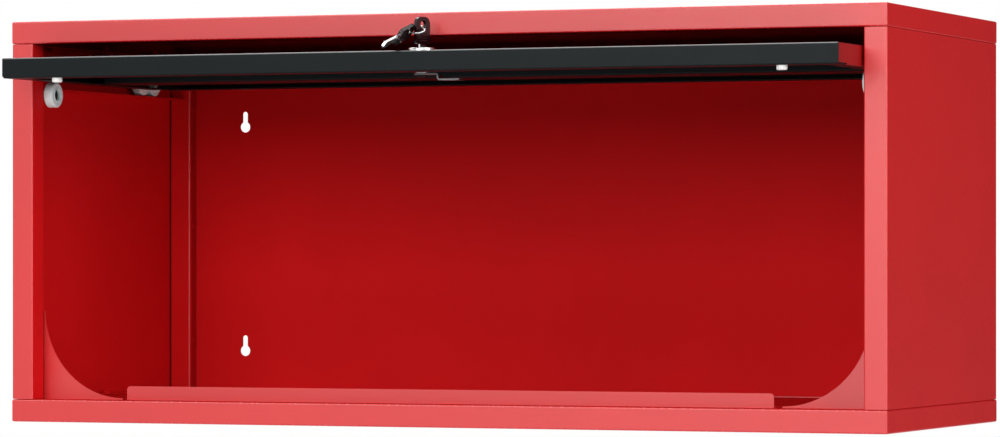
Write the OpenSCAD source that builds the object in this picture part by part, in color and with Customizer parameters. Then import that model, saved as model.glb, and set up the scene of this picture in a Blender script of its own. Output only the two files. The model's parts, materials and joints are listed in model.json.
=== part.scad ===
// Steel wall cabinet with a flipper door: the door is drawn out level on rollers and hinges on a
// carriage that runs in two side tracks. Millimetres, +Z up, the front faces -Y, the wall is y = 0.
// The origin is the centre of the four keyholes, on the back plane.

/* [Case] */
// Outside width of the case
case_w = 800; // [600:1:1200]
// Outside height of the case
case_h = 350; // [330:1:380]
// Outside depth of the case
case_d = 320; // [300:1:420]
// Sheet thickness of the case
sheet = 1; // [0.8:0.1:1.5]
// Inside radius of the folds
fold_in = 0.4; // [0.3:0.1:2]
// Height of the top and bottom trays
rail_h = 19.5; // [15:0.5:24]
// Visible gap between a tray and a side panel
seam = 0.3; // [0.2:0.1:0.8]
// Width of the inturned lips that hold trays and sides together
lip_w = 15; // [11:1:18]
// Width of the front jambs
jamb_w = 20; // [19:0.5:26]
// Depth of the jambs' inner returns
jamb_d = 20; // [18:0.5:24]
// Width of the boxed rear posts
post_w = 22; // [16:1:26]
// Depth of the boxed rear posts
post_d = 12.5; // [9:0.5:16]

/* [Wall keyholes] */
// Distance between the two columns of keyholes
keyhole_dx = 652; // [400:1:700]
// Distance between the two rows of keyholes
keyhole_dz = 209; // [120:1:240]
// Height of the lower keyhole heads above the bottom
keyhole_low = 57; // [40:1:80]
// Diameter of a keyhole's round head
keyhole_head_d = 10; // [8:0.5:14]
// Width of a keyhole's slot
keyhole_slot_w = 5; // [4:0.5:6]
// Overall height of a keyhole
keyhole_h = 19.4; // [18:0.2:30]

/* [Floor corners and strike] */
// Radius of the gussets' hollow edge
gusset_r = 77; // [50:1:110]
// Height of the strike lip above the floor
strike_h = 12; // [8:0.5:18]
// Gap from the strike lip's end to a gusset
strike_gap = 6; // [2:1:20]
// Width of the strike's foot on the floor
strike_foot = 12; // [8:1:20]
// Radius of the strike lip's corners
strike_r = 3; // [1:0.5:6]

/* [Door] */
// Gap between the door and each jamb
door_gap = 2; // [1.5:0.25:4]
// Thickness of the door
door_t = 17.5; // [16:0.5:20]
// Gap between the closed door and the bottom tray
door_floor_gap = 0.9; // [0.5:0.1:3]
// How far the closed door's face lies behind the case's front
door_recess = 0.9; // [0.5:0.1:3]
// How far the raised door stands out of the case
door_out = 59; // [52:1:90]
// Distance from the case's top down to the raised door's underside
door_drop = 52; // [50:0.5:60]
// Width of the lips round the door's open inner side
door_lip = 20; // [16:1:24]
// Width of the stiffener's crown
stiffener_w = 50; // [30:1:60]
// Distance from the door's front edge to the stiffener's centre line
stiffener_at = 185; // [120:1:200]
// Diameter of the bumpers
bumper_d = 9; // [8:0.5:14]
// Height of the bumpers
bumper_h = 4; // [3:0.5:6]
// Distance from a door end to the bumper's centre
bumper_in = 50; // [30:1:120]
// Distance from the door's front edge to the bumper's centre
bumper_up = 6.5; // [6.5:0.5:14]

/* [Rollers and carriage] */
// Diameter of the rollers
roller_d = 22; // [20:0.5:22]
// Width of the rollers
roller_w = 8; // [6:0.5:9]
// Diameter of the axles
axle_d = 6; // [5:0.5:7]
// Distance from the door's rear edge to its pivot
pivot_in = 22.4; // [18:0.2:26]
// Height of the pivot above the raised door's underside
pivot_up = 6; // [5.5:0.1:8]
// Distance between the two rollers of a carriage
tandem = 23.1; // [22.5:0.1:30]
// Thickness of the tracks' sheet
track_t = 1.2; // [1:0.1:1.5]
// Depth of the tracks' channel
track_w = 16; // [15:0.5:16]
// Clearance of a roller against what it runs on
run_gap = 0.3; // [0.2:0.05:0.5]
// Radial clearance of a shaft in its bore
shaft_gap = 0.05; // [0.02:0.01:0.1]

/* [Lock and keys] */
// Distance from the door's front edge to the lock's axis
lock_up = 37; // [34:1:44]
// Diameter of the lock's flange
flange_d = 24; // [20:0.5:28]
// Height of the lock's flange
flange_h = 3.4; // [2:0.1:5]
// Diameter of the lock's barrel
barrel_d = 16; // [14:0.5:18]
// Diameter of the lock's plug
plug_d = 11; // [10:0.5:12]
// Reach of the cam from the lock's axis
cam_reach = 36; // [30:0.5:36]
// Offset of the cam's hooked end
cam_step = 4.8; // [4:0.2:8]
// Width of the cam
cam_w = 12; // [8:0.5:14]
// Thickness of the cam
cam_t = 1.4; // [1:0.1:2]
// Width of a key's head
head_w = 17; // [15:0.5:18]
// Height of a key's head
head_h = 23; // [20:0.5:26]
// Thickness of a key's head
head_t = 3; // [2.5:0.1:4]
// Width of a key's blade
blade_w = 7; // [6:0.5:7.5]
// Thickness of a key's blade
blade_t = 1.8; // [1.4:0.1:2]
// Length of a key's blade outside its head
blade_l = 22; // [19:0.5:22]
// Diameter of the hole in a key's head
head_hole = 7; // [6:0.2:7.5]
// Radius of the key ring's centre line
ring_r = 7.8; // [7.5:0.1:8]
// Diameter of the key ring's wire
ring_wire = 1.5; // [1:0.1:1.8]

/* [Hidden] */
$fn = 48;
bit = 0.01;
side = [-1, 1];
half_w = case_w / 2;
front = -case_d;
hang_z = keyhole_low + keyhole_dz / 2;
panel_low = rail_h + seam;
panel_high = case_h - rail_h - seam;
inner_half = half_w - jamb_w;
fold_r = fold_in + sheet;
fold_c = fold_r - sheet / 2;
// How far a bend's ends lap the straight runs, as a share of the sheet
bend_lap = 0.25;
guide_gap = 0.3;
seat_gap = 0.05;
screw_d = 4;
screw_head_d = 8;
screw_head_h = 2.4;
screw_gap = 0.1;
screw_count = 3;
screw_end = 4;
screw_inset = 45;
rivet_d = 3.2;
rivet_head_d = 6.5;
rivet_head_h = 1;
rivet_tail = 2;
rivet_count = 3;
rivet_low = 45;
rivet_high = 48;
flange_short = 0.2;

door_half = inner_half - door_gap;
door_under = case_h - door_drop;
door_top = door_under + door_t;
pivot_z = door_under + pivot_up;
door_h = pivot_z + pivot_in - rail_h - door_floor_gap;
door_front = front - door_out;
door_rear = door_front + door_h;
pivot_y = door_rear - pivot_in;
closed_back = front + door_recess + door_t;
closed_pivot = closed_back - pivot_up;
lock_y = door_front + lock_up;
end_flange = 16;
lap_gap = 0.1;
end_short = 0.4;
stiffener_brim = 10;
stiffener_rise = 1;

gusset_y = max(front + jamb_d + run_gap, closed_back + bumper_h);
gusset_foot = 10;
strike_y = closed_back + run_gap;
strike_half = inner_half - gusset_r - strike_gap;

roller_r = roller_d / 2;
bore_d = axle_d + 2 * shaft_gap;
roller_edge = 1;
jamb_gap = 0.5;
roller_set_in = 0.2;
front_roller_y = front + jamb_d + roller_r + jamb_gap;
front_roller_z = door_under - run_gap - roller_r;
front_roller_x = inner_half + roller_set_in;
spacer_d = 8;
spacer_base_d = 9;
spacer_base_t = 1.5;
clip_d = 9;
clip_t = 1;
clip_end = 0.8;
recess_d = 10;
recess_h = 3.2;
wall_x = half_w - sheet;
track_low = pivot_z - roller_r - run_gap - track_t;
track_high = pivot_z + roller_r + run_gap + track_t;
track_front = front + fold_r + guide_gap;
track_rear = -post_d - sheet - guide_gap;
track_bend = 1.4;
tab_edge = 1;
track_room = 1;
rear_roller_x = wall_x - track_w + track_room;
rear_outer_x = rear_roller_x + roller_w;
carriage_t = 1.5;
carriage_h = 14;
carriage_x = rear_outer_x + track_room;
collar_rim = 1.5;
collar_d = axle_d + 2 * collar_rim;
axle_end = 0.5;
bush_d = 8;
bush_l = 6;
bush_inner_x = door_half - bush_l;
slot_play = 0.6;
slot_half = axle_d / 2 + slot_play;

barrel_up = 1.4;
barrel_end = door_under + barrel_up;
flange_dome = 1;
nut_h = 4;
nut_d = 24;
cam_top = door_under - guide_gap;
plug_end = cam_top - cam_t;
slot_gap = 0.1;
square_w = 7;
cam_hub_rim = 1;
cam_hub_d = cam_w + 2 * cam_hub_rim;
cam_bend = 1.8;
cam_crank = 16.5;
cam_screw_d = 3;
cam_screw_l = 3;
cam_screw_head_d = 9;
cam_screw_head_h = 1.6;
flange_top = door_top + seat_gap + flange_h;
key_turn = 72;
key_stem = 3.1;
head_low = flange_top + key_stem;
key_tip = head_low - blade_l;
hole_drop = 6.5;
head_grip = 8;
head_r = 6;
head_foot_r = 2.5;
blade_point = 2;
notch_r = 1.2;
notch_more = 0.5;
notch_out = 0.4;
notch_step = 4;
notch_count = 4;
// The ring hangs a little low in the key's hole, and the spare key hangs on the ring the same way.
ring_sag = 1.8;
spare_sag = 1.5;
ring_z = head_low + head_h - hole_drop - ring_sag;
ring_turn = -25;
ring_tilt = 18;
ring_roll = 22;
spare_turn = -12;
spare_tilt = 71;
spare_roll = 42;
spare_at = [0, lock_y, ring_z]
    + 2 * ring_r * cos(ring_tilt) * [sin(ring_turn), -cos(ring_turn), 0]
    - [0, 0, 2 * ring_r * sin(ring_tilt)];

red = [0.72, 0.12, 0.13];
black = [0.13, 0.14, 0.15];
steel = [0.75, 0.76, 0.78];
white = [0.9, 0.9, 0.88];
zinc = [0.66, 0.67, 0.7];

function unit(v) = v / norm(v);

// A piece in the cabinet's own heights, above its bottom, moved to the keyholes' centre.
module hung() translate([0, 0, -hang_z]) children();

// A child drawn for the right-hand side (+X), on either side.
module on_side(s) mirror([s < 0 ? 1 : 0, 0, 0]) children();

// A sheet folded along a path of right angles, with round bends, run up Z for its length.
module folded(path, t, r, length) {
    last = len(path) - 1;
    union() {
        for (i = [0 : last - 1]) linear_extrude(length) fold_run(path, i, t, r);
        for (i = [1 : last - 1]) linear_extrude(length) fold_bend(path, i, t, r);
    }
}

// One straight run of a folded sheet, up to the bends at its ends.
module fold_run(path, i, t, r) {
    u = unit(path[i + 1] - path[i]);
    n = [-u.y, u.x] * t / 2;
    a = path[i] + (i > 0 ? r * u : [0, 0]);
    b = path[i + 1] - (i < len(path) - 2 ? r * u : [0, 0]);
    polygon([a + n, b + n, b - n, a - n]);
}

// One bend of a folded sheet, a quarter of a ring, with ends that lap the runs beside it.
module fold_bend(path, i, t, r) {
    u = unit(path[i] - path[i - 1]);
    v = unit(path[i + 1] - path[i]);
    reach = r + t;
    translate(path[i] - r * u + r * v) intersection() {
        difference() {
            circle(r + t / 2);
            circle(r - t / 2);
        }
        polygon([[0, 0], reach * u, reach * (u - v), -reach * v]);
    }
    bend_end(path[i] - r * u, -u, t);
    bend_end(path[i] + r * v, v, t);
}

// A short straight end of a bend, from the point a along the run.
module bend_end(a, along, t) {
    n = [-along.y, along.x] * t / 2;
    b = a + along * t * bend_lap;
    polygon([a + n, a - n, b - n, b + n]);
}

// A rectangle from the origin with round corners.
module round_rect(w, h, r) {
    translate([r, 0]) square([w - 2 * r, h]);
    translate([0, r]) square([w, h - 2 * r]);
    for (x = [r, w - r], y = [r, h - r]) translate([x, y]) circle(r);
}

// A child with its section in (y, z), run along X from x0.
module lay_x(x0) translate([x0, 0, 0]) rotate([90, 0, 90]) children();

// A child with its section in (x, z), run along Y and ending at y1.
module lay_y(y1) translate([0, y1, 0]) rotate([90, 0, 0]) children();

// A section drawn in (y, z), run along X from x0 to x1.
module along_x(x0, x1) lay_x(x0) linear_extrude(x1 - x0) children();

// A section drawn in (x, z), run along Y from y0 to y1.
module along_y(y0, y1) lay_y(y1) linear_extrude(y1 - y0) children();

// A rod along X from x0 to x1 through the point (y, z).
module rod(x0, x1, y, z, d) translate([x0, y, z]) rotate([0, 90, 0]) cylinder(d = d, h = x1 - x0);

// The rounded block of a tray, or of its hollow when shrunk by inset.
module tray_block(inset) {
    r = fold_r - inset;
    intersection() {
        along_x(-half_w, half_w)
            translate([front + inset, inset]) round_rect(case_d - 2 * inset, rail_h - 2 * inset, r);
        along_y(front, 0)
            translate([-half_w + inset, inset]) round_rect(case_w - 2 * inset, rail_h - 2 * inset, r);
    }
}

// A tray, open below inside its four lips. Screws pass its lips or its sheet beside each wall.
module tray(through_lip) {
    difference() {
        tray_block(0);
        tray_block(sheet);
        translate([-half_w + lip_w, front + lip_w, -sheet])
            cube([case_w - 2 * lip_w, case_d - 2 * lip_w, 3 * sheet]);
        for (s = side, y = screw_places())
            translate([s * screw_x(), y, through_lip ? -sheet : rail_h - 2 * sheet])
                cylinder(d = screw_d + 2 * screw_gap, h = 3 * sheet);
    }
}

function screw_x() = wall_x - lip_w / 2;

// The screws' places from front to back, between the jamb and the rear post.
function screw_places() =
    let (y0 = front + jamb_d + screw_inset, y1 = -post_d - screw_inset)
    [for (i = [0 : screw_count - 1]) y0 + (y1 - y0) * i / (screw_count - 1)];

module top_panel() color(red) hung() translate([0, 0, case_h - rail_h]) tray(true);

module bottom_panel() color(red) hung() tray(false);

// A side panel: jamb, skin and boxed rear post folded from one sheet, with a lip at each end.
module side_panel(s) {
    c = sheet / 2;
    path = [
        [inner_half + c, front + jamb_d],
        [inner_half + c, front + c],
        [half_w - c, front + c],
        [half_w - c, -c],
        [half_w - post_w + c, -c],
        [half_w - post_w + c, -post_d + c],
        [wall_x - guide_gap, -post_d + c]];
    lip_front = gusset_y + sheet + guide_gap;
    lip_rear = -post_d - run_gap;
    color(red) hung() on_side(s) difference() {
        union() {
            translate([0, 0, panel_low]) folded(path, sheet, fold_c, panel_high - panel_low);
            for (z = [panel_low, panel_high - sheet])
                translate([half_w - lip_w, lip_front, z])
                    cube([lip_w - sheet + bit, lip_rear - lip_front, sheet]);
        }
        // The slot in the jamb's return that lets the door's pivot come forward.
        rod(inner_half - sheet, inner_half + 2 * sheet, closed_pivot, pivot_z, 2 * slot_half);
        translate([inner_half - sheet, closed_pivot, pivot_z - slot_half])
            cube([3 * sheet, jamb_d, 2 * slot_half]);
        for (y = screw_places(), z = [panel_low, panel_high])
            translate([screw_x(), y, z - 2 * sheet]) cylinder(d = screw_d + 2 * screw_gap, h = 4 * sheet);
        for (z = rivet_places())
            rod(half_w - post_w - sheet, half_w - post_w + 2 * sheet, -post_d / 2, z,
                rivet_d + 2 * screw_gap);
    }
}

module left_side_panel() side_panel(-1);
module right_side_panel() side_panel(1);

// The heights of the rivets that hold the back panel to the posts.
function rivet_places() =
    let (z0 = panel_low + rivet_low, z1 = panel_high - rivet_high)
    [for (i = [0 : rivet_count - 1]) z0 + (z1 - z0) * i / (rivet_count - 1)];

// One keyhole, its round head at the origin and its slot upwards.
module keyhole() {
    slot_top = keyhole_h - keyhole_head_d / 2 - keyhole_slot_w / 2;
    rotate([90, 0, 0]) {
        translate([0, 0, -sheet]) cylinder(d = keyhole_head_d, h = 3 * sheet);
        translate([-keyhole_slot_w / 2, 0, -sheet]) cube([keyhole_slot_w, slot_top, 3 * sheet]);
        translate([0, slot_top, -sheet]) cylinder(d = keyhole_slot_w, h = 3 * sheet);
    }
}

// The back panel: a sheet between the posts, with a flange forward along each post.
module back_panel() {
    c = sheet / 2;
    x = half_w - post_w - guide_gap - c;
    y = -post_d + flange_short;
    color(red) hung() difference() {
        translate([0, 0, rail_h + seat_gap])
            folded([[-x, y], [-x, -c], [x, -c], [x, y]], sheet, fold_c, case_h - 2 * (rail_h + seat_gap));
        for (s = side, z = [keyhole_low, keyhole_low + keyhole_dz])
            translate([s * keyhole_dx / 2, 0, z]) keyhole();
        for (s = side, z = rivet_places()) on_side(s)
            rod(x - sheet, x + sheet, -post_d / 2, z, rivet_d + 2 * screw_gap);
    }
}

// A corner gusset behind the jamb, with its hollow edge and a foot on the floor.
module gusset(s) {
    centre = inner_half - gusset_r;
    x0 = wall_x - guide_gap;
    color(red) hung() on_side(s) {
        along_y(gusset_y, gusset_y + sheet) difference() {
            translate([centre, panel_low]) square([x0 - centre, gusset_r]);
            translate([centre, panel_low + gusset_r]) circle(gusset_r - sheet, $fn = 96);
        }
        translate([centre, gusset_y, rail_h]) cube([inner_half - centre, gusset_foot, sheet]);
    }
}

module left_gusset() gusset(-1);
module right_gusset() gusset(1);

// The strike lip that the lock's cam hooks behind, standing on the floor behind the bottom rail.
module strike_lip() {
    top = rail_h + strike_h;
    color(red) hung() {
        along_y(strike_y, strike_y + sheet) {
            translate([-strike_half, rail_h]) square([2 * strike_half, strike_h - strike_r]);
            translate([-strike_half + strike_r, rail_h]) square([2 * (strike_half - strike_r), strike_h]);
            for (s = side) translate([s * (strike_half - strike_r), top - strike_r]) circle(strike_r);
        }
        translate([-strike_half, strike_y, rail_h]) cube([2 * strike_half, strike_foot, sheet]);
    }
}

// A track: a channel along the side wall for the carriage, with a tab below for the front roller.
module track(s) {
    c = track_t / 2;
    x0 = wall_x - c;
    x1 = wall_x - track_w;
    tab_w = 2 * spacer_base_d;
    tab_low = front_roller_z - spacer_base_d / 2 - tab_edge;
    color(red) hung() on_side(s) difference() {
        union() {
            lay_y(track_rear)
                folded([[x1, track_high - c], [x0, track_high - c], [x0, track_low + c], [x1, track_low + c]],
                    track_t, track_bend, track_rear - track_front);
            translate([wall_x - track_t, front_roller_y - tab_w / 2, tab_low])
                cube([track_t, tab_w, pivot_z - tab_low]);
        }
        rod(wall_x - 2 * track_t, wall_x + track_t, front_roller_y, front_roller_z, axle_d + 2 * screw_gap);
    }
}

module left_track() track(-1);
module right_track() track(1);

// A front roller's axle: a foot on the track's tab, a spacer past the jamb, and the journal.
module roller_axle(s) {
    tab_x = wall_x - track_t;
    journal_end = front_roller_x - roller_w + recess_h - run_gap - clip_t - clip_end;
    color(zinc) hung() on_side(s) {
        rod(tab_x - spacer_base_t, tab_x, front_roller_y, front_roller_z, spacer_base_d);
        rod(front_roller_x + run_gap, tab_x - spacer_base_t + bit, front_roller_y, front_roller_z, spacer_d);
        rod(journal_end, wall_x, front_roller_y, front_roller_z, axle_d);
    }
}

module left_roller_axle() roller_axle(-1);
module right_roller_axle() roller_axle(1);

// The spring clips on the front rollers' journals, in the rollers' recesses.
module roller_clips() {
    x = front_roller_x - roller_w + recess_h - run_gap;
    color(black) hung() for (s = side) on_side(s) difference() {
        rod(x - clip_t, x, front_roller_y, front_roller_z, clip_d);
        rod(x - 2 * clip_t, x + clip_t, front_roller_y, front_roller_z, bore_d);
    }
}

// A nylon roller on an axle along X, from x0 inwards, with a recess in its inner face.
module roller(s, x0, y, z, recessed) {
    rim = roller_r - roller_edge;
    color(white) hung() on_side(s) translate([x0, y, z]) rotate([0, -90, 0]) difference() {
        rotate_extrude() difference() {
            union() {
                square([rim, roller_w]);
                translate([0, roller_edge]) square([roller_r, roller_w - 2 * roller_edge]);
                for (h = [roller_edge, roller_w - roller_edge]) translate([rim, h]) circle(roller_edge);
            }
            translate([-roller_d, -roller_w]) square([roller_d, 3 * roller_w]);
        }
        translate([0, 0, -1]) cylinder(d = bore_d, h = roller_w + 2);
        if (recessed) translate([0, 0, roller_w - recess_h]) cylinder(d = recess_d, h = recess_h + 1);
    }
}

module left_front_roller() roller(-1, front_roller_x, front_roller_y, front_roller_z, true);
module right_front_roller() roller(1, front_roller_x, front_roller_y, front_roller_z, true);

module left_lead_roller() roller(-1, rear_outer_x, pivot_y, pivot_z, false);
module right_lead_roller() roller(1, rear_outer_x, pivot_y, pivot_z, false);
module left_trail_roller() roller(-1, rear_outer_x, pivot_y + tandem, pivot_z, false);
module right_trail_roller() roller(1, rear_outer_x, pivot_y + tandem, pivot_z, false);

// A carriage plate: a round-ended link that carries the two axles.
module carriage_plate(s) {
    color(zinc) hung() on_side(s) difference() {
        union() {
            for (y = [pivot_y, pivot_y + tandem])
                rod(carriage_x, carriage_x + carriage_t, y, pivot_z, carriage_h);
            translate([carriage_x, pivot_y, pivot_z - carriage_h / 2]) cube([carriage_t, tandem, carriage_h]);
        }
        for (y = [pivot_y, pivot_y + tandem])
            rod(carriage_x - 1, carriage_x + carriage_t + 1, y, pivot_z, axle_d + 2 * screw_gap);
    }
}

module left_carriage_plate() carriage_plate(-1);
module right_carriage_plate() carriage_plate(1);

// An axle with a collar that stands between the plate and the roller.
module carriage_axle(s, y, inner_x) {
    color(zinc) hung() on_side(s) {
        rod(inner_x, carriage_x + carriage_t + axle_end, y, pivot_z, axle_d);
        rod(rear_outer_x + guide_gap, carriage_x, y, pivot_z, collar_d);
    }
}

// The pivot pin carries the leading roller and, past the jamb's slot, the door's bush.
module left_pivot_pin() carriage_axle(-1, pivot_y, bush_inner_x);
module right_pivot_pin() carriage_axle(1, pivot_y, bush_inner_x);

// The trailing roller's axle ends in a thin head.
module trail_axle(s) {
    head_x = rear_roller_x - guide_gap;
    carriage_axle(s, pivot_y + tandem, head_x - bit);
    color(zinc) hung() on_side(s) rod(head_x - clip_t, head_x, pivot_y + tandem, pivot_z, clip_d);
}

module left_trail_axle() trail_axle(-1);
module right_trail_axle() trail_axle(1);

// The door's skin: face, front and rear edges and their lips, folded from one sheet.
module door_skin() {
    c = sheet / 2;
    path = [
        [door_rear - door_lip, door_under + c],
        [door_rear - c, door_under + c],
        [door_rear - c, door_top - c],
        [door_front + c, door_top - c],
        [door_front + c, door_under + c],
        [door_front + door_lip, door_under + c]];
    x = door_half - sheet - bit;
    color(black) hung() difference() {
        lay_x(-x) folded(path, sheet, fold_c, 2 * x);
        translate([0, lock_y, door_top - 2 * sheet]) cylinder(d = barrel_d + 2 * screw_gap, h = 3 * sheet);
        // The rear lip's ends are cut away above the front rollers, for the drawn-out door to tilt.
        for (s = side) on_side(s)
            translate([door_half - end_flange, door_rear - 2 * door_lip, door_under - sheet])
                cube([2 * end_flange, 3 * door_lip, sheet + fold_r]);
    }
}

// A door end: a plate with a flange under the skin and one along the open side, for the rollers.
module door_end(s) {
    c = sheet / 2;
    x0 = door_half - c;
    x1 = door_half - end_flange;
    z0 = door_under + c;
    z1 = door_top - sheet - c - lap_gap;
    y0 = door_front + door_lip + guide_gap;
    y1 = door_rear - door_lip - guide_gap;
    color(red) hung() on_side(s) difference() {
        union() {
            lay_y(y1) folded([[x1, z0], [x0, z0], [x0, z1], [x1, z1]], sheet, fold_c, y1 - y0);
            along_y(door_front, door_rear) translate([door_half - sheet, 0]) round_end();
        }
        rod(door_half - 2 * sheet, door_half + sheet, pivot_y, pivot_z, bush_d + 2 * screw_gap);
    }
}

// The edge-on section of a door end's plate, over the door's whole thickness.
module round_end() translate([0, door_under + fold_r]) square([sheet, door_t - fold_r - end_short]);

module left_door_end() door_end(-1);
module right_door_end() door_end(1);

// A plain bush in the door end, on the pivot pin.
module pivot_bush(s) {
    color(white) hung() on_side(s) difference() {
        rod(bush_inner_x, door_half, pivot_y, pivot_z, bush_d);
        rod(bush_inner_x - 1, door_half + 1, pivot_y, pivot_z, bore_d);
    }
}

module left_pivot_bush() pivot_bush(-1);
module right_pivot_bush() pivot_bush(1);

// The stiffener: a hat section on the inside of the door's face.
module door_stiffener() {
    c = sheet / 2;
    y = door_front + stiffener_at;
    w = stiffener_w / 2 - c;
    z1 = door_top - sheet - c - lap_gap;
    z0 = door_under + stiffener_rise + c;
    x = door_half - end_flange - guide_gap;
    color(black) hung() lay_x(-x)
        folded([[y - w - stiffener_brim, z1], [y - w, z1], [y - w, z0],
            [y + w, z0], [y + w, z1], [y + w + stiffener_brim, z1]], sheet, fold_c, 2 * x);
}

// A bumper: a round-edged button on the door's front lip.
module bumper(s) {
    r = bumper_d / 2;
    edge = 1.2;
    color(white) hung() translate([s * (door_half - bumper_in), door_front + bumper_up, door_under])
        rotate([180, 0, 0]) rotate_extrude() difference() {
            union() {
                square([r, bumper_h - edge]);
                square([r - edge, bumper_h]);
                translate([r - edge, bumper_h - edge]) circle(edge);
            }
            translate([-bumper_d, 0]) square([bumper_d, 2 * bumper_h]);
        }
}

module left_bumper() bumper(-1);
module right_bumper() bumper(1);

// Things on the lock's axis, in the cabinet's heights.
module at_lock() hung() translate([0, lock_y, 0]) children();

// The lock's body: a domed flange on the door's face and a barrel through it.
module lock_body() {
    r = flange_d / 2;
    color(steel) at_lock() difference() {
        union() {
            translate([0, 0, door_top + seat_gap]) rotate_extrude() {
                square([r, flange_h - flange_dome]);
                square([r - flange_dome, flange_h]);
                intersection() {
                    translate([r - flange_dome, flange_h - flange_dome]) circle(flange_dome);
                    square([r, flange_h]);
                }
            }
            translate([0, 0, barrel_end]) cylinder(d = barrel_d, h = door_top + seat_gap - barrel_end + bit);
        }
        translate([0, 0, barrel_end - 1])
            cylinder(d = plug_d + 2 * shaft_gap, h = flange_top - barrel_end + 2);
    }
}

// The nut that draws the lock's flange onto the door's face.
module lock_nut() {
    color(zinc) at_lock() translate([0, 0, door_top - sheet - seat_gap - nut_h]) difference() {
        cylinder(d = nut_d, h = nut_h, $fn = 6);
        translate([0, 0, -1]) cylinder(d = barrel_d + 2 * screw_gap, h = nut_h + 2);
    }
}

// The lock's plug, with the keyway above and a square for the cam below.
module lock_plug() {
    color(zinc) at_lock() difference() {
        union() {
            translate([0, 0, cam_top]) cylinder(d = plug_d, h = flange_top - cam_top);
            translate([-square_w / 2, -square_w / 2, plug_end]) cube([square_w, square_w, cam_t + bit]);
        }
        rotate([0, 0, key_turn]) translate([0, 0, key_tip - slot_gap])
            linear_extrude(flange_top - key_tip + 1)
                square([blade_w + 2 * slot_gap, blade_t + 2 * slot_gap], center = true);
        translate([0, 0, plug_end - 1]) cylinder(d = cam_screw_d + 2 * screw_gap, h = cam_screw_l + 1);
    }
}

// The cam: a strip on the plug's square, cranked down to hook behind the strike lip.
module lock_cam() {
    c = cam_t / 2;
    x = cam_crank;
    color(steel) at_lock() difference() {
        union() {
            translate([0, 0, plug_end]) cylinder(d = cam_hub_d, h = cam_t);
            lay_y(cam_w / 2)
                folded([[0, plug_end + c], [x, plug_end + c], [x, plug_end + c - cam_step],
                    [cam_reach, plug_end + c - cam_step]], cam_t, cam_bend, cam_w);
        }
        translate([-square_w / 2 - slot_gap, -square_w / 2 - slot_gap, plug_end - 1])
            cube([square_w + 2 * slot_gap, square_w + 2 * slot_gap, cam_t + 2]);
    }
}

// The screw that holds the cam on the plug.
module cam_screw() {
    color(zinc) at_lock() {
        translate([0, 0, plug_end - cam_screw_head_h]) cylinder(d = cam_screw_head_d, h = cam_screw_head_h);
        translate([0, 0, plug_end - bit]) cylinder(d = cam_screw_d, h = cam_screw_l);
    }
}

// A key's flat blade hanging from z = 0, its tongue in the head above, its bit cut on one edge.
module blade() {
    shoulder = -blade_l + blade_point;
    rotate([90, 0, 0]) translate([0, 0, -blade_t / 2]) linear_extrude(blade_t) difference() {
        polygon([[-blade_w / 2, head_grip], [-blade_w / 2, shoulder], [0, -blade_l],
            [blade_w / 2, shoulder], [blade_w / 2, head_grip]]);
        for (i = [1 : notch_count]) translate([blade_w / 2 + notch_out, shoulder + notch_step * i])
            circle(notch_r + (i % 2) * notch_more, $fn = 24);
    }
}

// A key's head standing on z = 0, round above, with the hole for the ring and a slot for the blade.
module head() {
    r = head_r;
    low_r = head_foot_r;
    difference() {
        rotate([90, 0, 0]) translate([0, 0, -head_t / 2]) linear_extrude(head_t) difference() {
            union() {
                translate([-head_w / 2, low_r]) square([head_w, head_h - r - low_r]);
                translate([-head_w / 2 + low_r, 0]) square([head_w - 2 * low_r, head_h - r]);
                translate([-head_w / 2 + r, 0]) square([head_w - 2 * r, head_h]);
                for (s = side) {
                    translate([s * (head_w / 2 - r), head_h - r]) circle(r);
                    translate([s * (head_w / 2 - low_r), low_r]) circle(low_r);
                }
            }
            translate([0, head_h - hole_drop]) circle(d = head_hole);
        }
        translate([0, 0, head_grip / 2 - bit])
            cube([blade_w + 2 * slot_gap, blade_t + 2 * slot_gap, head_grip + 2 * slot_gap], center = true);
    }
}

module key_blade() color(steel) at_lock() translate([0, 0, head_low]) rotate([0, 0, key_turn]) blade();

module key_head() color(black) at_lock() translate([0, 0, head_low]) rotate([0, 0, key_turn]) head();

// The ring through the key's head, tipped down towards the front.
module key_ring() {
    color(steel) at_lock() translate([0, 0, ring_z])
        rotate([0, 0, ring_turn]) rotate([ring_tilt, 0, 0]) rotate([0, ring_roll, 0])
            translate([0, -ring_r, 0]) rotate_extrude()
                translate([ring_r, 0]) circle(d = ring_wire, $fn = 24);
}

// The spare key's place: its hole on the ring, its tip out over the door's front edge.
module as_spare() {
    hung() translate(spare_at)
        rotate([0, 0, spare_turn]) rotate([-spare_tilt, 0, 0]) rotate([0, 0, 90 + spare_roll])
            translate([0, 0, hole_drop - head_h - spare_sag]) children();
}

module spare_key_blade() color(steel) as_spare() blade();

module spare_key_head() color(black) as_spare() head();

// The screws through the side panels' lips into the trays.
module case_screws() {
    length = 2 * sheet + seam + screw_end;
    color(zinc) hung() for (s = side, y = screw_places()) translate([s * screw_x(), y, 0]) {
        translate([0, 0, panel_high - sheet - screw_head_h]) cylinder(d = screw_head_d, h = screw_head_h);
        translate([0, 0, panel_high - sheet - bit]) cylinder(d = screw_d, h = length);
        translate([0, 0, panel_low + sheet]) cylinder(d = screw_head_d, h = screw_head_h);
        translate([0, 0, panel_low + sheet + bit - length]) cylinder(d = screw_d, h = length);
    }
}

// The rivets through the back panel's flanges into the posts.
module back_rivets() {
    x = half_w - post_w - guide_gap - sheet;
    color(zinc) hung() for (s = side, z = rivet_places()) on_side(s) {
        rod(x - rivet_head_h, x, -post_d / 2, z, rivet_head_d);
        rod(x - bit, x + 2 * sheet + guide_gap + rivet_tail, -post_d / 2, z, rivet_d);
    }
}

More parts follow.
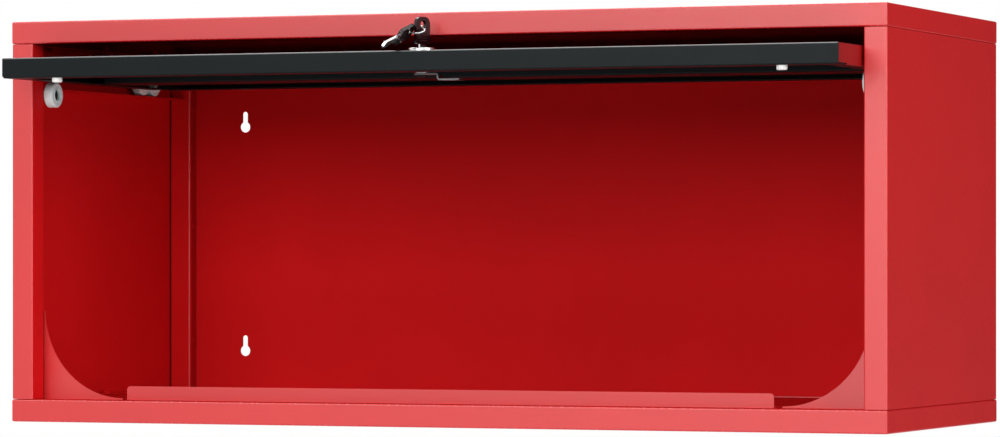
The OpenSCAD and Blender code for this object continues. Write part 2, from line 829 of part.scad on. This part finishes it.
top_panel();
bottom_panel();
left_side_panel();
right_side_panel();
back_panel();
left_gusset();
right_gusset();
strike_lip();
left_track();
right_track();
left_roller_axle();
right_roller_axle();
roller_clips();
case_screws();
back_rivets();
left_front_roller();
right_front_roller();
left_carriage_plate();
right_carriage_plate();
left_pivot_pin();
right_pivot_pin();
left_trail_axle();
right_trail_axle();
left_lead_roller();
left_trail_roller();
right_lead_roller();
right_trail_roller();
door_skin();
left_door_end();
right_door_end();
door_stiffener();
left_bumper();
right_bumper();
left_pivot_bush();
right_pivot_bush();
lock_body();
lock_nut();
lock_plug();
lock_cam();
cam_screw();
key_blade();
key_head();
key_ring();
spare_key_blade();
spare_key_head();
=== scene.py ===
"""Looks of the steel wall cabinet: paint, plating, nylon and rubber on the CAD frame, with the small
pressed, moulded and driven details that the solids leave out. Metres, in the frame's own axes."""

import json
import math

import bpy
from mathutils import Matrix, Vector


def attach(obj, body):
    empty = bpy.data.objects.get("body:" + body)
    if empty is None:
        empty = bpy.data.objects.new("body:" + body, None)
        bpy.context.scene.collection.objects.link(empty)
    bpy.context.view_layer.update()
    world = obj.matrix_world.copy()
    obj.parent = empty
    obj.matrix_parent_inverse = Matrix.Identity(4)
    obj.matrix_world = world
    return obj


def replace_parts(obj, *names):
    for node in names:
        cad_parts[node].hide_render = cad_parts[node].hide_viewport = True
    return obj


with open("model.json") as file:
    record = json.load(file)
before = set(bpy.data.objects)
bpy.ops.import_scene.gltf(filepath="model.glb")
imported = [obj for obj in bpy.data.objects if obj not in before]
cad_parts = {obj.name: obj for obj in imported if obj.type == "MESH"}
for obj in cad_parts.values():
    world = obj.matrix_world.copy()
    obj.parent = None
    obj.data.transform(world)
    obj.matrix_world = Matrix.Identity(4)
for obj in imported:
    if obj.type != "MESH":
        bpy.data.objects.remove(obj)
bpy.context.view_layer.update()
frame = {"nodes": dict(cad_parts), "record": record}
nodes = frame["nodes"]
SIDES = ((-1, "left"), (1, "right"))


# Node trees and materials

class Tree:
    """A node tree, with short calls for the nodes used below."""

    def __init__(self, tree, place):
        self.nodes = tree.nodes
        self.links = tree.links
        self.place = self.add("TexCoord").outputs[place]

    def feed(self, node, inputs):
        """Sets a node's inputs to plain values, or links them to the outputs given."""
        for key, value in inputs.items():
            if isinstance(value, bpy.types.NodeSocket):
                self.links.new(value, node.inputs[key])
            else:
                node.inputs[key].default_value = value

    def add(self, kind, inputs=None, **settings):
        node = self.nodes.new("ShaderNode" + kind)
        for key, value in settings.items():
            setattr(node, key, value)
        self.feed(node, inputs or {})
        return node

    def noise(self, scale, detail=2.0, rough=0.5, stretch=None):
        place = self.place
        if stretch:
            place = self.add("Mapping", {"Vector": place, "Scale": stretch}).outputs["Vector"]
        wanted = {"Vector": place, "Scale": scale, "Detail": detail, "Roughness": rough}
        return self.add("TexNoise", wanted).outputs["Fac"]

    def span(self, value, low, high, start=0.3, end=0.7, **settings):
        """The value, mapped from start and end to low and high; noise lies mostly within the defaults."""
        wanted = {"Value": value, "From Min": start, "From Max": end, "To Min": low, "To Max": high}
        return self.add("MapRange", wanted, **settings).outputs["Result"]

    def tint(self, share, low, high):
        wanted = {"Factor": share, 6: (*low, 1.0), 7: (*high, 1.0)}
        return self.add("Mix", wanted, data_type="RGBA").outputs[2]

    def bump(self, height, strength, depth):
        wanted = {"Height": height, "Strength": strength, "Distance": depth}
        return self.add("Bump", wanted).outputs["Normal"]

    def math(self, kind, one, other):
        return self.add("Math", {0: one, 1: other}, operation=kind).outputs["Value"]

    def seen_rays(self, dimmed_by=None):
        """1 on rays from the camera and from mirrors and glass, the latter no more than dimmed_by."""
        rays = self.add("LightPath").outputs
        mirror = self.math("MAXIMUM", rays["Is Glossy Ray"], rays["Is Transmission Ray"])
        if dimmed_by is not None:
            mirror = self.math("MINIMUM", mirror, dimmed_by)
        return self.math("MAXIMUM", rays["Is Camera Ray"], mirror)


class Surface(Tree):
    """A new material's node tree."""

    def __init__(self, name):
        self.material = bpy.data.materials.new(name)
        self.material.use_nodes = True
        super().__init__(self.material.node_tree, "Object")
        self.shader = self.nodes["Principled BSDF"]


def scaled(color, factor):
    return tuple(min(1.0, c * factor) for c in color)


CLOUD_DETAIL, CRISP = 3.0, 0.6
CLOUD_SCALE, SHEEN_SCALE, PEEL_SCALE = 7.0, 260.0, 900.0
CLOUDING, SHEEN_SPREAD, PEEL_DEPTH = 0.04, 0.04, 0.0004


def powder_coat(name, color, share, rough, specular, peel=0.05):
    """Satin powder coat at a share of its colour: faint clouding, orange peel, a slightly uneven sheen."""
    s = Surface(name)
    paint = scaled(color, share)
    cloud = s.span(s.noise(CLOUD_SCALE, CLOUD_DETAIL), 0.0, 1.0)
    s.feed(s.shader, {
        "Base Color": s.tint(cloud, scaled(paint, 1 - CLOUDING), scaled(paint, 1 + CLOUDING)),
        "Roughness": s.span(s.noise(SHEEN_SCALE), rough - SHEEN_SPREAD, rough + SHEEN_SPREAD),
        "Normal": s.bump(s.noise(PEEL_SCALE, rough=CRISP), peel, PEEL_DEPTH),
        "Specular IOR Level": specular})
    return s.material


PLATE_CLOUD_SCALE = 90.0
GRAIN_SPREAD, GRAIN_BUMP, GRAIN_DEPTH = 0.07, 0.08, 0.0002


def plated(name, low, high, rough, grain):
    """Plated steel: a clouded tint, with fine drawn grain in its roughness and surface."""
    s = Surface(name)
    lines = s.noise(1.0, CLOUD_DETAIL, CRISP, grain)
    s.feed(s.shader, {
        "Base Color": s.tint(s.span(s.noise(PLATE_CLOUD_SCALE, CLOUD_DETAIL), 0.0, 1.0), low, high),
        "Roughness": s.span(lines, rough - GRAIN_SPREAD, rough + GRAIN_SPREAD),
        "Normal": s.bump(lines, GRAIN_BUMP, GRAIN_DEPTH),
        "Metallic": 1.0})
    return s.material


MOULD_CLOUD_SCALE, MOULD_SHEEN_SCALE, MOULD_SKIN_SCALE = 60.0, 700.0, 1800.0
MOULD_CLOUDING, MOULD_SPREAD, MOULD_DEPTH = 0.05, 0.05, 0.0002


def moulded(name, color, rough, texture, specular):
    """A moulded plastic or rubber with a fine texture."""
    s = Surface(name)
    cloud = s.span(s.noise(MOULD_CLOUD_SCALE), 0.0, 1.0)
    s.feed(s.shader, {
        "Base Color": s.tint(cloud, scaled(color, 1 - MOULD_CLOUDING), color),
        "Roughness": s.span(s.noise(MOULD_SHEEN_SCALE), rough - MOULD_SPREAD, rough + MOULD_SPREAD),
        "Normal": s.bump(s.noise(MOULD_SKIN_SCALE), texture, MOULD_DEPTH),
        "Specular IOR Level": specular})
    return s.material


RED = (0.64, 0.0075, 0.0095)
BLACK = (0.0062, 0.0085, 0.0092)
red = powder_coat("red powder coat", RED, share=0.93, rough=0.42, specular=0.92)
# Painted light: the inside faces get a lighter copy of the red, with less gloss.
red_inner_painted_lighter = powder_coat("red powder coat, inside, painted lighter", RED, share=1.04, rough=0.60, specular=0.06)
# Painted shade: the door ends get a darker copy of the red.
red_end_painted_shade = powder_coat("red powder coat, door ends, painted shade", RED, share=0.44, rough=0.42, specular=0.35)
# Painted shade: the hollow under the top gets a much darker copy of the red.
red_painted_shade_under_top = powder_coat("red powder coat, painted shade under the top", RED, share=0.45, rough=0.60, specular=0.06)
# Painted shade: the inward faces of the back flanges, and the rivets on them, get a darker copy of the red.
red_painted_shade_flanges = powder_coat("red powder coat, painted shade on the back flanges", RED, share=0.66, rough=0.60, specular=0.06)
# Painted shade: a nearly black copy of the red, for strips that stand in for the shadow in the gaps beside
# the rear posts.
red_painted_shadow_gap = powder_coat("red powder coat, painted shadow gaps by the posts", RED, share=0.15, rough=0.70, specular=0.05)
red_fold = powder_coat("red powder coat, upright bends", RED, share=1.0, rough=0.40, specular=0.7,
    peel=0.03)
red_edge = powder_coat("red powder coat, thin over a bend", RED, share=1.0, rough=0.26, specular=1.0,
    peel=0.03)
black = powder_coat("black powder coat", BLACK, share=1.0, rough=0.40, specular=0.10, peel=0.06)
black_edge = powder_coat("black powder coat, thin over a bend", BLACK, share=1.0, rough=0.22, specular=1.0,
    peel=0.03)
zinc = plated("zinc plate", (0.58, 0.59, 0.62), (0.68, 0.68, 0.66), rough=0.34,
    grain=(220.0, 2400.0, 2400.0))
dull_zinc = plated("dull zinc plate", (0.15, 0.15, 0.16), (0.19, 0.19, 0.19), rough=0.45,
    grain=(900.0, 900.0, 2400.0))
black_oxide = plated("black oxide", (0.020, 0.020, 0.022), (0.035, 0.034, 0.034), rough=0.40,
    grain=(900.0, 900.0, 900.0))
bright = plated("bright nickel plate", (0.72, 0.72, 0.73), (0.80, 0.79, 0.78), rough=0.18,
    grain=(3000.0, 500.0, 500.0))
# Painted light: the nylon is tinted cyan to cancel the red light that the paint bounces onto the rollers.
nylon = moulded("white nylon tinted against red bounce light", (0.84, 0.97, 0.97), rough=0.35, texture=0.04, specular=0.6)
rubber = moulded("white rubber", (0.80, 0.80, 0.78), rough=0.62, texture=0.12, specular=0.4)
key_plastic = moulded("black key plastic", (0.011, 0.003, 0.0035), rough=0.16, texture=0.03, specular=0.4)

PAINTS = {"red_paint": red, "black_paint": black, "zinc_steel": zinc, "chrome": bright,
    "nylon": nylon, "bumper_rubber": rubber, "key_plastic": key_plastic}
# The door ends take the darker copy of the red, which is painted shade.
OTHER_PAINTS = {"lock_cam": dull_zinc, "left_roller_axle": black_oxide, "right_roller_axle": black_oxide,
    "left_door_end": red_end_painted_shade, "right_door_end": red_end_painted_shade}
for part in frame["record"]["subparts"]:
    mesh = nodes[part["node"]].data
    mesh.materials.clear()
    mesh.materials.append(OTHER_PAINTS.get(part["node"], PAINTS[part["material_slot"]]))


# Faces of the sheets with a paint of their own

CASE = (Vector((-0.400, -0.320, -0.1615)), Vector((0.400, 0.0, 0.1885)))
SKIN = 0.0016
DOOR_FRONT = -0.379
POST_X = 0.37
# Cosines between a face's normal and an axis.
FACING, SQUARE, OBLIQUE, STRAIGHT = 0.3, 0.1, 0.2, 0.8
CASE_BEND, DOOR_BEND = (0.15, 0.97), (0.05, 0.97)


def paint_faces(node, material, chosen):
    """Gives one more material to the faces that chosen(centre, normal) picks."""
    mesh = nodes[node].data
    mesh.materials.append(material)
    for face in mesh.polygons:
        if chosen(face.center, face.normal):
            face.material_index = len(mesh.materials) - 1


def inside(centre, normal):
    """True for a face that isn't on the outside of the case."""
    low, high = CASE
    for axis in range(3):
        if normal[axis] > FACING and high[axis] - centre[axis] < SKIN:
            return False
        if normal[axis] < -FACING and centre[axis] - low[axis] < SKIN:
            return False
    return True


def between(value, limits):
    return limits[0] < value < limits[1]


def front_bend(centre, normal):
    """True on the rounded bends along the case's front."""
    front = centre.y < CASE[0].y + SKIN
    return front and between(-normal.y, CASE_BEND) and abs(normal.x) < SQUARE


def post_bend(centre, normal):
    """True on the inner upright bends of the jambs and posts."""
    inner = abs(centre.x) < CASE[1].x - 2 * SKIN
    return inner and abs(normal.z) < SQUARE and min(abs(normal.x), abs(normal.y)) > OBLIQUE


def door_bend(centre, normal):
    """True on the rounded bend along the top of the door's front."""
    return centre.y < DOOR_FRONT + SKIN and between(-normal.y, DOOR_BEND) and normal.z > 0


def inward(centre, normal):
    """How far a face looks from its side of the case towards the middle, as a cosine."""
    return -normal.x * math.copysign(1.0, centre.x)


def back_flange(centre, normal):
    """True on the faces of the back panel's end flanges that look inward."""
    return inward(centre, normal) > STRAIGHT and abs(centre.x) > POST_X


def not_outward(centre, normal):
    return inward(centre, normal) > -FACING


SIDE_PANELS = ("left_side_panel", "right_side_panel")
# Painted light: the inside faces take the lighter copy of the red.
for panel in ("bottom_panel", *SIDE_PANELS, "back_panel", "left_track", "right_track"):
    paint_faces(panel, red_inner_painted_lighter, inside)
# Painted shade: the hollow of the top panel takes the much darker copy of the red.
paint_faces("top_panel", red_painted_shade_under_top, inside)
for panel in ("top_panel", "bottom_panel"):
    paint_faces(panel, red_edge, front_bend)
for panel in SIDE_PANELS:
    paint_faces(panel, red_fold, post_bend)
# Painted shade: the back flanges' inward faces take the darker copy of the red.
paint_faces("back_panel", red_painted_shade_flanges, back_flange)
paint_faces("door_skin", black_edge, door_bend)
for end in ("left_door_end", "right_door_end"):
    paint_faces(end, black, not_outward)


# Meshes

SHARP = math.radians(35.0)


def piece(name, verts, faces, material, body, slot, at=None):
    """A new piece from mesh data, in place, smooth but for its sharp edges."""
    mesh = bpy.data.meshes.new(name)
    mesh.from_pydata([tuple(v) for v in verts], [], faces)
    if at:
        mesh.transform(at)
    mesh.validate()
    mesh.shade_smooth()
    mesh.set_sharp_from_angle(angle=SHARP)
    mesh.materials.append(material)
    obj = bpy.data.objects.new(name, mesh)
    bpy.context.scene.collection.objects.link(obj)
    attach(obj, body)
    return obj


def joined(shapes):
    """Several (verts, faces) as one."""
    verts, faces = [], []
    for more, sides in shapes:
        start = len(verts)
        verts += more
        faces += [tuple(i + start for i in side) for side in sides]
    return verts, faces


def moved(shape, at):
    return [at @ Vector(v) for v in shape[0]], shape[1]


def placed(x, y, z):
    return Matrix.Translation((x, y, z))


def turned(angle, axis):
    return Matrix.Rotation(angle, 4, axis)


def lathe(profile, count=32):
    """A solid turned about Z from a profile of (radius, height) that starts and ends on the axis."""
    verts, faces = [(0.0, 0.0, profile[0][1])], []
    rings = profile[1:-1]
    for radius, height in rings:
        for k in range(count):
            a = 2 * math.pi * k / count
            verts.append((radius * math.cos(a), radius * math.sin(a), height))
    verts.append((0.0, 0.0, profile[-1][1]))
    last = len(verts) - 1
    for k in range(count):
        n = (k + 1) % count
        faces.append((0, 1 + n, 1 + k))
        for r in range(len(rings) - 1):
            a, b = 1 + r * count, 1 + (r + 1) * count
            faces.append((a + k, a + n, b + n, b + k))
        end = 1 + (len(rings) - 1) * count
        faces.append((last, end + k, end + n))
    return verts, faces


def hoop(section, count=48):
    """A ring turned about Z from a closed section of (radius, height)."""
    verts, faces = [], []
    size = len(section)
    for k in range(count):
        a = 2 * math.pi * k / count
        verts += [(r * math.cos(a), r * math.sin(a), h) for r, h in section]
        for i in range(size):
            j, n = (i + 1) % size, (k + 1) % count
            faces.append((k * size + i, n * size + i, n * size + j, k * size + j))
    return verts, faces


# Case screws: pan heads with a cross recess, threaded shanks

SCREW_X = 0.3915
SCREW_YS = (-0.255, -0.15625, -0.0575)
SCREW_TOP, SCREW_LOW = 0.1677, -0.1407
SCREW_HEAD_R, SCREW_HEAD_H, SCREW_R, SCREW_L = 0.004, 0.0024, 0.002, 0.0063
SCREW_RINGS = (0.06, 0.11, 0.17, 0.24, 0.32, 0.40, 0.48, 0.54, 0.62, 0.70, 0.78, 0.86, 0.93, 0.98, 1.0)
CROWN_FALL, SHOULDER_AT, SHOULDER_FALL = 0.12, 0.7, 0.45
RECESS_REACH, RECESS_ARM, RECESS_DEPTH = 0.52, 0.115, 0.4
PITCH, THREAD_ROOT, SCREW_TIP = 0.0007, 0.86, 0.5
TURN_PER_ROW, TURN_PER_METRE = 0.9, 40


def crown(t):
    """The head's height at a share of its radius."""
    shoulder = max(0.0, (t - SHOULDER_AT) / (1 - SHOULDER_AT))
    return 1.0 - CROWN_FALL * t * t - SHOULDER_FALL * shoulder ** 2


def thread(shank_r, length):
    out = []
    for k in range(int(length / PITCH) - 1):
        z = -PITCH * (k + 0.5)
        out += [(shank_r * THREAD_ROOT, z), (shank_r, z - PITCH * 0.5)]
    return out + [(shank_r * SCREW_TIP, -length)]


def pan_screw(head_r, head_h, shank_r, length):
    """A pan-head screw on -Z, its crowned head above z = 0."""
    head = [(0, head_h)] + [(head_r * t, crown(t) * head_h) for t in SCREW_RINGS]
    verts, faces = lathe(head + [(head_r, 0), (shank_r, 0)] + thread(shank_r, length) + [(0, -length)])
    reach, arm = RECESS_REACH * head_r, RECESS_ARM * head_r
    cut = []
    for x, y, z in verts:
        far, near = max(abs(x), abs(y)), min(abs(x), abs(y))
        in_cross = z > 0 and far < reach and near < arm
        depth = RECESS_DEPTH * head_h * (1 - (far / reach) ** 2) if in_cross else 0.0
        cut.append((x, y, z - depth))
    return cut, faces


plain_screw = pan_screw(SCREW_HEAD_R, SCREW_HEAD_H, SCREW_R, SCREW_L)
screws = []
for k, y in enumerate(SCREW_YS):
    for x in (-SCREW_X, SCREW_X):
        screw = moved(plain_screw, turned(TURN_PER_ROW * k + TURN_PER_METRE * x, "Z"))
        screws.append(moved(screw, placed(x, y, SCREW_LOW)))
        screws.append(moved(screw, placed(x, y, SCREW_TOP) @ turned(math.pi, "X")))
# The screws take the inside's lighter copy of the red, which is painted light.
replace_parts(piece("case_screw_set", *joined(screws), red_inner_painted_lighter, "cabinet", "red_paint"), "case_screws")


# Back rivets: domed heads with the stem's pit, set tails

RIVET_X, RIVET_Y = 0.3767, -0.00625
RIVET_ZS = (-0.0967, 0.0120, 0.1207)
RIVET = [(0, 0.00068), (0.0007, 0.00066), (0.0009, 0.00072), (0.00105, 0.0010), (0.0018, 0.00092),
    (0.0026, 0.00068), (0.0031, 0.00032), (0.00325, 0.0), (0.0016, 0.0), (0.0016, -0.0026),
    (0.0021, -0.0029), (0.0022, -0.0037), (0.0017, -0.0042), (0, -0.0043)]
rivets = []
for z in RIVET_ZS:
    for side in (-1, 1):
        at = placed(side * RIVET_X, RIVET_Y, z) @ turned(-side * math.pi / 2, "Y")
        rivets.append(moved(lathe(RIVET), at))
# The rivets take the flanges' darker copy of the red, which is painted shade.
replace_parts(piece("back_rivet_set", *joined(rivets), red_painted_shade_flanges, "cabinet", "red_paint"), "back_rivets")


# Keys: the split ring and the grip ribs, placed as the source places the keys

LOCK_Y = -0.342
HEAD_LOW, HEAD_H, HEAD_T = 0.16055, 0.023, 0.003
HOLE_DROP, RING_SAG, SPARE_SAG = 0.0065, 0.0018, 0.0015
RING_AT = (0.0, LOCK_Y, HEAD_LOW + HEAD_H - HOLE_DROP - RING_SAG)
RING_R, RING_WIDE, RING_THICK = 0.0078, 0.00072, 0.0011
RING_START = math.radians(200)
KEY_TURN, RING_TURN, RING_TILT, RING_ROLL = (math.radians(a) for a in (72, -25, 18, 22))
SPARE_TURN, SPARE_TILT, SPARE_ROLL = (math.radians(a) for a in (-12, 71, 42))
SPARE_DROP = HOLE_DROP - HEAD_H - SPARE_SAG
CROSS_FROM, CROSS_SPAN = 0.93, 0.14
WIRE_CORNER, WIRE_HALF = 0.6, 0.47

ring_place = (placed(*RING_AT) @ turned(RING_TURN, "Z") @ turned(RING_TILT, "X") @ turned(RING_ROLL, "Y")
    @ placed(0, -RING_R, 0))
ring_far = Vector(RING_AT) + 2 * RING_R * Vector((
    math.cos(RING_TILT) * math.sin(RING_TURN),
    -math.cos(RING_TILT) * math.cos(RING_TURN),
    -math.sin(RING_TILT)))
key_place = placed(0, LOCK_Y, HEAD_LOW) @ turned(KEY_TURN, "Z")
spare_place = (placed(*ring_far) @ turned(SPARE_TURN, "Z") @ turned(-SPARE_TILT, "X")
    @ turned(math.pi / 2 + SPARE_ROLL, "Z") @ placed(0, 0, SPARE_DROP))


def rounded(value):
    """A cosine or sine pushed outward, so that a circle becomes a square with round corners."""
    return math.copysign(abs(value) ** WIRE_CORNER, value)


def split_ring(radius, wide, thick, steps=96, corners=12):
    """A split ring: two turns of flat wire side by side, crossing over once."""
    verts, faces = [], []
    count = 2 * steps
    for k in range(count + 1):
        a = 2 * math.pi * k / steps
        cross = min(1.0, max(0.0, (k - CROSS_FROM * steps) / (CROSS_SPAN * steps)))
        lift = wide * (cross * cross * (3 - 2 * cross) - 0.5)
        for i in range(corners):
            b = 2 * math.pi * i / corners
            r = radius + 0.5 * thick * rounded(math.cos(b))
            h = lift + WIRE_HALF * wide * rounded(math.sin(b))
            verts.append((r * math.cos(a), r * math.sin(a), h))
    for k in range(count):
        for i in range(corners):
            j = (i + 1) % corners
            faces.append((k * corners + i, (k + 1) * corners + i, (k + 1) * corners + j, k * corners + j))
    faces.append(tuple(range(corners)))
    faces.append(tuple(count * corners + i for i in reversed(range(corners))))
    return verts, faces


ring = moved(split_ring(RING_R, RING_WIDE, RING_THICK), turned(RING_START, "Z"))
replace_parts(piece("split_key_ring", *ring, bright, "spare_key", "chrome", ring_place), "key_ring")

RIB_HALF, RIB_W, RIB_H = 0.0042, 0.0011, 0.00032
RIB_ZS = (0.0030, 0.0050, 0.0070, 0.0090)
RIB_LEVELS = ((1.0, 0.0), (0.95, 0.6), (0.75, 0.9), (0.4, 1.0))


def rib(half, width, height, count=9):
    """A round-ended grip rib along X on the plane y = 0, crowned towards -Y."""
    outline = []
    for side in (1, -1):
        for k in range(count):
            a = math.pi * (k / (count - 1) - 0.5)
            outline.append((side * (half + 0.5 * width * math.cos(a)), side * 0.5 * width * math.sin(a)))
    verts, faces = [], []
    size = len(outline)
    for scale, lift in RIB_LEVELS:
        for x, z in outline:
            edge = math.copysign(half, x)
            verts.append((edge + (x - edge) * scale, -lift * height, z * scale))
    top = len(RIB_LEVELS) - 1
    for r in range(top):
        for i in range(size):
            j = (i + 1) % size
            faces.append((r * size + i, r * size + j, (r + 1) * size + j, (r + 1) * size + i))
    faces.append(tuple(top * size + i for i in range(size)))
    faces.append(tuple(reversed(range(size))))
    return verts, faces


ribs = []
for z in RIB_ZS:
    front = placed(0, -HEAD_T / 2, z)
    for at in (front, turned(math.pi, "Z") @ front):
        ribs.append(moved(rib(RIB_HALF, RIB_W, RIB_H), at))
grip = joined(ribs)
piece("key_head_ribs", *grip, key_plastic, "lock_plug", "key_plastic", key_place)
piece("spare_key_head_ribs", *grip, key_plastic, "spare_key", "key_plastic", spare_place)


# Dark strips painted as the shadow in the gaps beside the rear posts; rims of the lock and the rollers

GAP_SHADE_X, GAP_SHADE_Y, GAP_SHADE_W, GAP_SHADE_H = 0.3981, -0.0124, 0.0018, 0.00035
GAP_SHADE_LOW, GAP_SHADE_HIGH = -0.1405, 0.1675


def bead(width, height, low, high, count=7):
    """An upright crowned strip along Z on the plane y = 0, raised towards -Y."""
    verts, faces = [], []
    for z in (low, high):
        for k in range(count):
            a = math.pi * k / (count - 1)
            verts.append((0.5 * width * math.cos(a), -height * math.sin(a), z))
    for k in range(count):
        n = (k + 1) % count
        faces.append((k, k + count, n + count, n))
    faces.append(tuple(range(count)))
    faces.append(tuple(reversed(range(count, 2 * count))))
    return verts, faces


# Each strip is painted shade: a dark bead where the gap beside a post would lie in shadow.
for side, word in SIDES:
    piece(word + "_post_painted_shadow_gap", *bead(GAP_SHADE_W, GAP_SHADE_H, GAP_SHADE_LOW, GAP_SHADE_HIGH), red_painted_shadow_gap, "cabinet", "red_paint",
        placed(side * GAP_SHADE_X, GAP_SHADE_Y, 0))

FLANGE_TOP = 0.15745
LOCK_RIM = [(0.0062, -0.0001), (0.0062, 0.00022), (0.0064, 0.00036), (0.0070, 0.00036), (0.0073, 0.0002),
    (0.0073, -0.0001)]
piece("lock_rim", *hoop(LOCK_RIM), bright, "door", "chrome", placed(0, LOCK_Y, FLANGE_TOP))

ROLLER_RIM = [(0.0083, -0.0001), (0.0083, 0.0002), (0.0085, 0.0004), (0.0097, 0.0004), (0.0099, 0.0002),
    (0.0099, -0.0001)]
ROLLER_HUB = [(0.0052, -0.0001), (0.0052, 0.0003), (0.0054, 0.0005), (0.0063, 0.0005), (0.0065, 0.0003),
    (0.0065, -0.0001)]
PIVOT_Y, PIVOT_Z, TANDEM = -0.0954, 0.1425, 0.0231
FRONT_X, REAR_X = 0.3722, 0.3840
ROLLERS = {"front": (FRONT_X, -0.2885, 0.1252), "lead": (REAR_X, PIVOT_Y, PIVOT_Z),
    "trail": (REAR_X, PIVOT_Y + TANDEM, PIVOT_Z)}
roller_rims = joined([hoop(ROLLER_RIM), hoop(ROLLER_HUB)])
for side, word in SIDES:
    for end, (x, y, z) in ROLLERS.items():
        roller = f"{word}_{end}_roller"
        at = placed(side * x, y, z) @ turned(-side * math.pi / 2, "Y")
        piece(roller + "_rims", *roller_rims, nylon, roller, "nylon", at)


# Studio: lamps, surroundings, floor and camera

LIGHTS_AIM = Vector((0.0, -0.2, 0.0))
# Bearing from the front (+ to the right) and elevation in degrees, distance, size and radiance.
LAMPS = {
    "front softbox": (0, 15, 4.0, (3.0, 1.4), 6.2),
    "high left softbox": (-40, 35, 3.8, (2.0, 1.6), 2.3),
    "right softbox": (69, 9, 3.6, (1.6, 1.6), 7.6),
    "back softbox": (-148, 50, 3.4, (2.8, 1.4), 3.6),
    "overhead softbox": (0, 90, 3.4, (4.0, 4.0), 1.6),
}
AMBIENT, DIM = 0.08, 0.03
BRIGHT_WAY = Vector((-0.45, -0.80, 0.40)).normalized()
DIM_UP_TO, BRIGHT_FROM = -0.55, 0.35
WHITE = (1.0, 1.0, 1.0, 1.0)
FLOOR_Z, FLOOR_HALF = -0.95, 7.0
FLOOR_LOW, FLOOR_HIGH = (0.84, 0.84, 0.84), (0.88, 0.88, 0.88)
FLOOR_ROUGH, FLOOR_CLOUD_SCALE = 0.9, 1.5
FLOOR_WHITE, FLOOR_FADE = 0.8, 1.0
PHOTO_W = 1000
SENSOR = 36.0
CAMERA_AT = (1.4926, -3.8239, -0.0242)
CAMERA_YAW = math.radians(22.216)
FOCAL_PX = 4519.55
HORIZON_PX = 46.29
CLIP_END = 100.0


def softbox(name, bearing, elevation, distance, size, radiance):
    """A softbox that faces the cabinet, unseen by the camera."""
    a, e = math.radians(bearing), math.radians(elevation)
    way = Vector((math.sin(a) * math.cos(e), -math.cos(a) * math.cos(e), math.sin(e)))
    light = bpy.data.lights.new(name, "AREA")
    light.shape = "RECTANGLE"
    light.size, light.size_y = size
    light.energy = radiance * math.pi * size[0] * size[1]
    lamp = bpy.data.objects.new(name, light)
    bpy.context.scene.collection.objects.link(lamp)
    lamp.location = LIGHTS_AIM + distance * way
    lamp.rotation_euler = (-way).to_track_quat("-Z", "Y").to_euler()
    lamp.visible_camera = False


def studio_world():
    """White for the camera; for reflections white in front and dim behind; a plain level for the rest."""
    world = bpy.data.worlds.new("studio")
    bpy.context.scene.world = world
    world.use_nodes = True
    world.node_tree.nodes.clear()
    t = Tree(world.node_tree, "Generated")
    facing = t.add("VectorMath", {0: t.place, 1: BRIGHT_WAY}, operation="DOT_PRODUCT").outputs["Value"]
    fade = t.span(facing, DIM, 1.0, DIM_UP_TO, BRIGHT_FROM, interpolation_type="SMOOTHSTEP")
    level = t.math("MAXIMUM", fade, t.add("LightPath").outputs["Is Camera Ray"])
    shown = t.add("Background", {"Color": WHITE, "Strength": level})
    light = t.add("Background", {"Color": WHITE, "Strength": AMBIENT})
    mix = t.add("MixShader", {"Fac": t.seen_rays(), 1: light.outputs[0], 2: shown.outputs[0]})
    t.add("OutputWorld", {"Surface": mix.outputs[0]})


def pale_floor():
    """A pale floor, well below the hung cabinet: nearly white to the camera and, in front, to mirrors."""
    mesh = bpy.data.meshes.new("floor")
    h = FLOOR_HALF
    mesh.from_pydata([(-h, -h, 0), (h, -h, 0), (h, h, 0), (-h, h, 0)], [], [(0, 1, 2, 3)])
    floor = bpy.data.objects.new("floor", mesh)
    floor.location.z = FLOOR_Z
    bpy.context.scene.collection.objects.link(floor)
    s = Surface("pale floor")
    cloud = s.noise(FLOOR_CLOUD_SCALE, CLOUD_DETAIL)
    s.feed(s.shader, {"Base Color": s.tint(cloud, FLOOR_LOW, FLOOR_HIGH), "Roughness": FLOOR_ROUGH})
    depth = s.add("SeparateXYZ", {"Vector": s.place}).outputs["Y"]
    ahead = s.span(depth, 1.0, 0.0, -FLOOR_FADE, FLOOR_FADE)
    share = s.span(s.seen_rays(ahead), 0.0, FLOOR_WHITE, 0.0, 1.0)
    white = s.add("Emission").outputs[0]
    mix = s.add("MixShader", {"Fac": share, 1: s.shader.outputs[0], 2: white})
    s.feed(s.nodes["Material Output"], {"Surface": mix.outputs[0]})
    s.material.cycles.emission_sampling = "NONE"
    mesh.materials.append(s.material)


def photo_camera():
    """The camera of the picture, from a fit to the case's corners."""
    lens = bpy.data.cameras.new("camera")
    lens.sensor_width = SENSOR
    lens.lens = FOCAL_PX / PHOTO_W * SENSOR
    lens.shift_y = HORIZON_PX / PHOTO_W
    lens.clip_end = CLIP_END
    camera = bpy.data.objects.new("camera", lens)
    camera.location = CAMERA_AT
    camera.rotation_euler = (math.pi / 2, 0.0, CAMERA_YAW)
    bpy.context.scene.collection.objects.link(camera)
    bpy.context.scene.camera = camera


for name, settings in LAMPS.items():
    softbox(name, *settings)
studio_world()
pale_floor()
photo_camera()
bpy.context.scene.view_settings.view_transform = "Standard"
